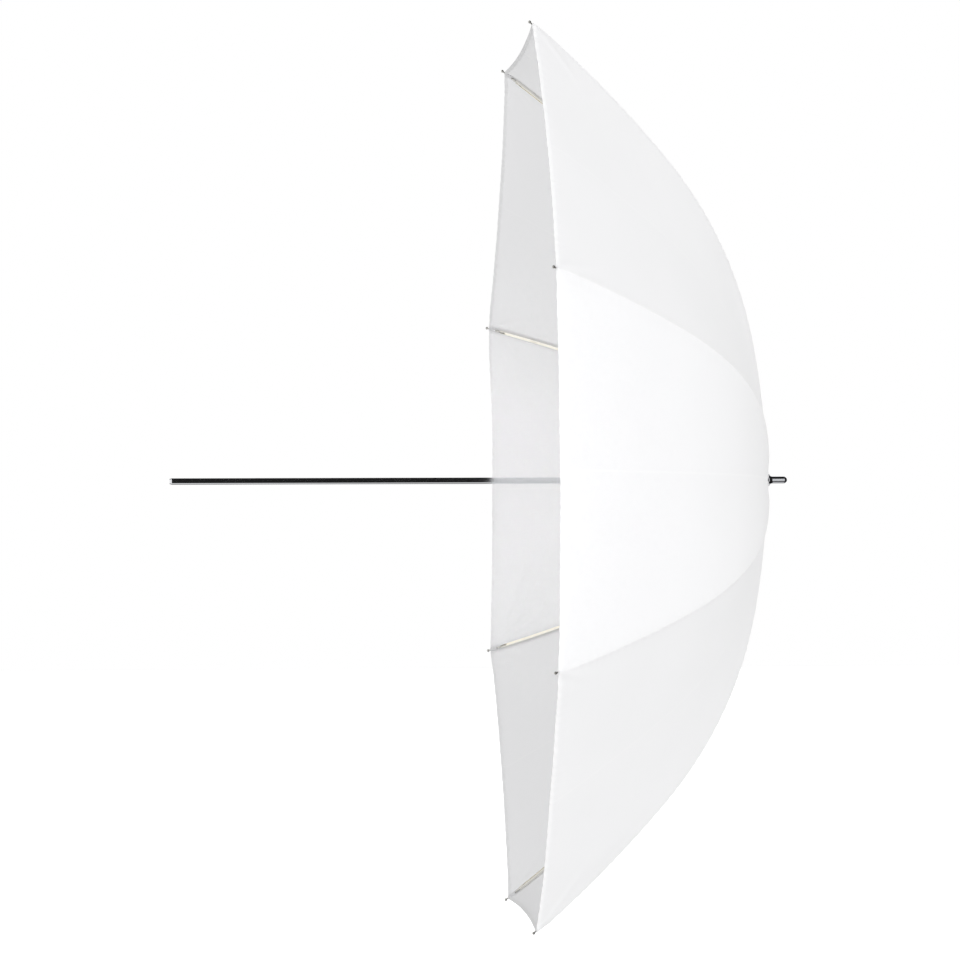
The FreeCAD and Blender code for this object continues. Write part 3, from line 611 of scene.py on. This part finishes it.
def seam_band(number, part):
    """The felled seam that runs over a rib's back and joins two gores."""
    start, end = SEAM_SPANS[part]
    rows = int((end - start) / ROW_PITCH) + 1
    stations = np.linspace(start, end, rows)
    places = np.linspace(-1.0, 1.0, SEAM_POINTS)
    radius = cloth_over_rib(stations)[1]
    reach = np.minimum(SEAM_HALF_WIDTH, radius * SEAM_NEAR_CROWN)
    columns = []
    for place in places:
        side = 1 if place >= 0 else -1
        across = abs(place) * reach / (radius * math.sin(HALF_GORE))
        points, from_seam, from_rim, from_middle = cloth_surface(number, side, stations, across)
        normals = cloth_normals(number, side, stations, np.maximum(across, NORMAL_SHARE))
        lift = SEAM_LIFT - SEAM_EDGE_DROP * abs(place) ** 6
        columns.append((points + normals * lift, normals, from_seam, from_rim, from_middle, side * from_seam))
    points, normals, from_seam, from_rim, from_middle, weft = (
        np.stack([column[part_of] for column in columns], axis=1) for part_of in range(6)
    )
    middle = len(places) // 2
    normals[:, middle] = normals[:, middle - 1] + normals[:, middle + 1]
    normals = normals.reshape(-1, 3)
    normals /= np.linalg.norm(normals, axis=1, keepdims=True)
    faces = grid_faces(rows, len(places), True)
    name = "seam_%s_%d" % (part, number)
    along = np.repeat(stations, len(places))
    piece = new_piece(name, points.reshape(-1, 3), faces, CLOTH, normals, {
        "lay": np.stack([from_seam.ravel(), from_rim.ravel(), from_middle.ravel()], axis=1),
        "weave": np.stack([weft.ravel(), along, np.full(along.shape, number * GORE_SHIFT)], axis=1),
    })
    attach(piece, "rib_%s_%d" % (part, number))


# The tip's sleeve: how far back from the tip's ball it starts and ends, its half width and half depth, how much
# slimmer it is at its outer end, how far it stands off the rib's line, and how high its waves and gathers are.
POCKET_SPAN = (0.0142, 0.0038)
POCKET_RINGS = 16
POCKET_TURNS = 25
POCKET_WIDE = 0.0021
POCKET_DEEP = 0.0019
POCKET_NARROWS = 0.0004
POCKET_OFF_RIB = 0.0005
POCKET_WAVE = 0.00025
POCKET_GATHER = 0.00012
POCKET_TURN_WIDTH = 0.002
# How far a plain patch of cloth says it is from any seam, hem or crease.
CLEAR_OF_SEWING = 0.05


def tip_pocket(number):
    """A slim sleeve of cloth, sewn into the corner of the canopy, that the rib's tip pushes into."""
    outward, sideways = rib_directions(number)
    stations = np.linspace(TIP_BALL - POCKET_SPAN[0], TIP_BALL - POCKET_SPAN[1], POCKET_RINGS)
    turns = np.linspace(0.0, 2 * math.pi, POCKET_TURNS)
    points, lay, weave = [], [], []
    for row, station in enumerate(stations):
        x, radius, slope = (float(one) for one in along_rib(station))
        off_rib = math.cos(slope) * ALONG + math.sin(slope) * outward
        base = x * ALONG + radius * outward + off_rib * POCKET_OFF_RIB
        share = row / (POCKET_RINGS - 1)
        wave = POCKET_WAVE * math.cos(share * 3 * math.pi + number)
        for turn in turns:
            gather = POCKET_GATHER * math.cos(5 * turn + 4 * share + number)
            wide = POCKET_WIDE - POCKET_NARROWS * share + wave * 0.4 + gather
            deep = POCKET_DEEP - POCKET_NARROWS * share + wave * 0.3 + gather
            points.append(base + sideways * (wide * math.sin(turn)) + off_rib * (deep * math.cos(turn)))
            lay.append((0.0008 + share * 0.006, 0.006, CLEAR_OF_SEWING))
            weave.append((turn * POCKET_TURN_WIDTH, station, number * GORE_SHIFT))
    faces = grid_faces(POCKET_RINGS, POCKET_TURNS, False)
    marks = {"lay": lay, "weave": weave}
    piece = new_piece("tip_pocket_%d" % number, np.array(points), faces, CLOTH, None, marks)
    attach(piece, "rib_outer_%d" % number)


# The crown's patch: its radii, its rings and spokes, the gap below the finial, how high its edge lies on the
# cloth, and how far it ripples over the ribs.
PATCH_RADII = (0.0037, 0.0108)
PATCH_RINGS = 10
PATCH_SPOKES = 64
PATCH_GAP = 0.0002
PATCH_EDGE_LIFT = 0.00025
PATCH_RIPPLE = 0.0001
PATCH_SHIFT = 0.9


def crown_patch():
    """A small round of cloth under the finial that covers the canopy's hole."""
    rings = np.linspace(*PATCH_RADII, PATCH_RINGS)
    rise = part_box("finial")[0].x - PATCH_GAP - APEX_X
    under = cloth_over_rib(np.maximum(rings - APEX_RADIUS, 0.0))[0]
    lift = rise + (PATCH_EDGE_LIFT - rise) * smooth_step(rings, *PATCH_RADII)
    points, lay, weave = [], [], []
    for ring, base_x in zip(rings, under + lift):
        for spoke in range(PATCH_SPOKES):
            angle = 2 * math.pi * spoke / PATCH_SPOKES
            ripple = PATCH_RIPPLE * math.cos(angle * RIBS) * (ring / PATCH_RADII[1]) ** 2
            points.append((base_x + ripple, -ring * math.sin(angle), ring * math.cos(angle)))
            lay.append((CLEAR_OF_SEWING, PATCH_RADII[1] - ring, CLEAR_OF_SEWING))
            weave.append((ring * math.sin(angle), ring * math.cos(angle), PATCH_SHIFT))
    faces = []
    for row in range(PATCH_RINGS - 1):
        for spoke in range(PATCH_SPOKES):
            after = (spoke + 1) % PATCH_SPOKES
            near, far = row * PATCH_SPOKES, (row + 1) * PATCH_SPOKES
            faces.append((near + spoke, far + spoke, far + after, near + after))
    piece = new_piece("crown_patch", np.array(points), faces, CLOTH, None, {"lay": lay, "weave": weave})
    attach(piece, "shaft")


finish_cad_nodes()
for number in range(1, RIBS + 1):
    for side in (1, -1):
        for part in ("inner", "outer"):
            half_gore(number, side, part)
    seam_band(number, "inner")
    seam_band(number, "outer")
    tip_pocket(number)
crown_patch()


# --- room, light and camera -----------------------------------------------------------------------

FLOOR_BELOW = 0.12
FLOOR_REACH = 14.0
FLOOR_GLOW = 0.60


def white_floor():
    """A plain white floor below the umbrella. It neither lights it nor shows in its metal."""
    finish = Finish.named("floor_paint")
    place = finish.add("TexCoord", out="Object")
    cloud = finish.add("TexNoise", None, {"Vector": place, "Scale": 2.0, "Detail": 3.0})
    tone = finish.tint(cloud, rgb(0.92, 0.92, 0.92), rgb(0.95, 0.95, 0.95))
    paint = finish.done(finish.add("BsdfPrincipled", None, {
        "Base Color": tone,
        "Roughness": 0.7,
        "Emission Color": rgb(1.0, 1.0, 1.0),
        "Emission Strength": FLOOR_GLOW,
    }))
    mesh = bpy.data.meshes.new("studio_floor")
    corners = ((-1, -1), (1, -1), (1, 1), (-1, 1))
    level = cad_low.z - FLOOR_BELOW
    mesh.from_pydata([(x * FLOOR_REACH, y * FLOOR_REACH, level) for x, y in corners], [], [(0, 1, 2, 3)])
    mesh.materials.append(paint)
    floor = bpy.data.objects.new("studio_floor", mesh)
    bpy.context.scene.collection.objects.link(floor)
    floor.visible_glossy = False
    floor.visible_diffuse = False
    floor.visible_transmission = False


ROOM_LIGHT = 0.885
FRONT_SHARE = 0.12
CROWN_SHARE = 0.46
# What bright metal sees: where each pale wall and the floor fade in or out, as shares of a direction, and how
# bright they are.
CROWN_WALL_LEAN = 0.105
CROWN_WALL_STARTS = (0.0, 0.02)
CROWN_WALL_ENDS = (0.45, 0.60)
CROWN_WALL_TOP = (0.50, 0.62)
CROWN_WALL_LEVEL = 0.9
OPEN_WALL_STARTS = (0.25, 0.45)
PALE_FLOOR_STARTS = (0.88, 0.97)
PALE_FLOOR_LEVEL = 0.75
UNLIT_LEVEL = 0.015


def white_room():
    """White all round, and brighter in front and on the crown's side.

    Bright metal sees the studio's unlit side through a gap between the pale walls, above and in front of the shaft.
    """
    finish = Finish(bpy.data.worlds.new("white_room"))
    bpy.context.scene.world = finish.holder
    way = finish.add("TexCoord", out="Generated")
    along, across, up = finish.parts(way)
    aside = finish.add("Math", {"operation": "ABSOLUTE"}, {0: across})
    tilt = finish.add("Math", {"operation": "ABSOLUTE"}, {0: up})
    crown_wall = finish.step(along - aside * CROWN_WALL_LEAN, *CROWN_WALL_STARTS)
    crown_wall = crown_wall * (1 - finish.step(tilt, *CROWN_WALL_TOP))
    crown_wall = crown_wall * (1 - finish.step(along, *CROWN_WALL_ENDS))
    open_wall = finish.step(0 - along, *OPEN_WALL_STARTS)
    pale_floor = finish.step(0 - up, *PALE_FLOOR_STARTS)
    studio = finish.add("Math", {"operation": "MAXIMUM"}, {0: crown_wall * CROWN_WALL_LEVEL, 1: open_wall})
    studio = finish.add("Math", {"operation": "MAXIMUM"}, {0: studio, 1: pale_floor * PALE_FLOOR_LEVEL})
    studio = studio + UNLIT_LEVEL
    seen = finish.add("LightPath", out="Is Camera Ray")
    mirrored = finish.add("LightPath", out="Is Glossy Ray")
    lit = (1 - mirrored) * (ROOM_LIGHT - across * FRONT_SHARE + along * CROWN_SHARE) + mirrored * studio
    level = seen + (1 - seen) * lit
    backdrop = finish.add("Background", None, {"Color": rgb(1.0, 1.0, 1.0), "Strength": level})
    finish.done(backdrop, "OutputWorld")


# Each light's name, place, aim, size, watts and spread in degrees.
SOFT_LIGHTS = (
    ("crown_softbox", (0.9, -3.4, 0.2), (0.5, 0.0, 0.0), 2.2, 12.0, 180.0),
    ("open_side_softbox", (-0.5, -3.4, 0.1), (0.4, 0.0, 0.0), 1.4, 21.0, 180.0),
    ("gridded_fill", (-0.35, -3.4, 0.0), (0.42, 0.48, 0.0), 0.3, 0.07, 7.0),
)
LIGHT_COLOUR = (0.96, 0.96, 1.0)


def soft_light(name, place, aim, size, watts, spread):
    """A round softbox that metal and the camera don't see."""
    light = bpy.data.lights.new(name, "AREA")
    light.shape = "DISK"
    light.size = size
    light.spread = math.radians(spread)
    light.energy = watts
    light.color = LIGHT_COLOUR
    lamp = bpy.data.objects.new(name, light)
    bpy.context.scene.collection.objects.link(lamp)
    lamp.location = place
    lamp.rotation_euler = (Vector(aim) - Vector(place)).to_track_quat("-Z", "Y").to_euler()
    lamp.visible_camera = False
    lamp.visible_glossy = False


CAMERA_YAW = math.radians(3.81)
CAMERA_TILT = math.radians(1.27)
CAMERA_ROLL = math.radians(0.15)
CAMERA_PLACE = Vector((0.0665, -4.188, 0.0008))
LENS = 141.0


def aim_camera():
    """A long lens a little on the open side of the canopy and a little below the shaft."""
    data = bpy.data.cameras.new("camera")
    data.lens = LENS
    data.sensor_width = 36.0
    data.clip_end = 100.0
    camera = bpy.data.objects.new("camera", data)
    bpy.context.scene.collection.objects.link(camera)
    forward = Vector((math.sin(CAMERA_YAW), math.cos(CAMERA_YAW), 0.0))
    right = Vector((math.cos(CAMERA_YAW), -math.sin(CAMERA_YAW), 0.0))
    up = right.cross(forward)
    turned = Matrix((right, up, -forward)).transposed() @ Matrix.Rotation(-CAMERA_ROLL, 3, "Z")
    round_shaft = Matrix.Rotation(CAMERA_TILT, 4, "X")
    camera.matrix_world = round_shaft @ Matrix.Translation(CAMERA_PLACE) @ turned.to_4x4()
    bpy.context.scene.camera = camera


white_room()
white_floor()
for one in SOFT_LIGHTS:
    soft_light(*one)
aim_camera()
bpy.context.scene.view_settings.view_transform = "Standard"
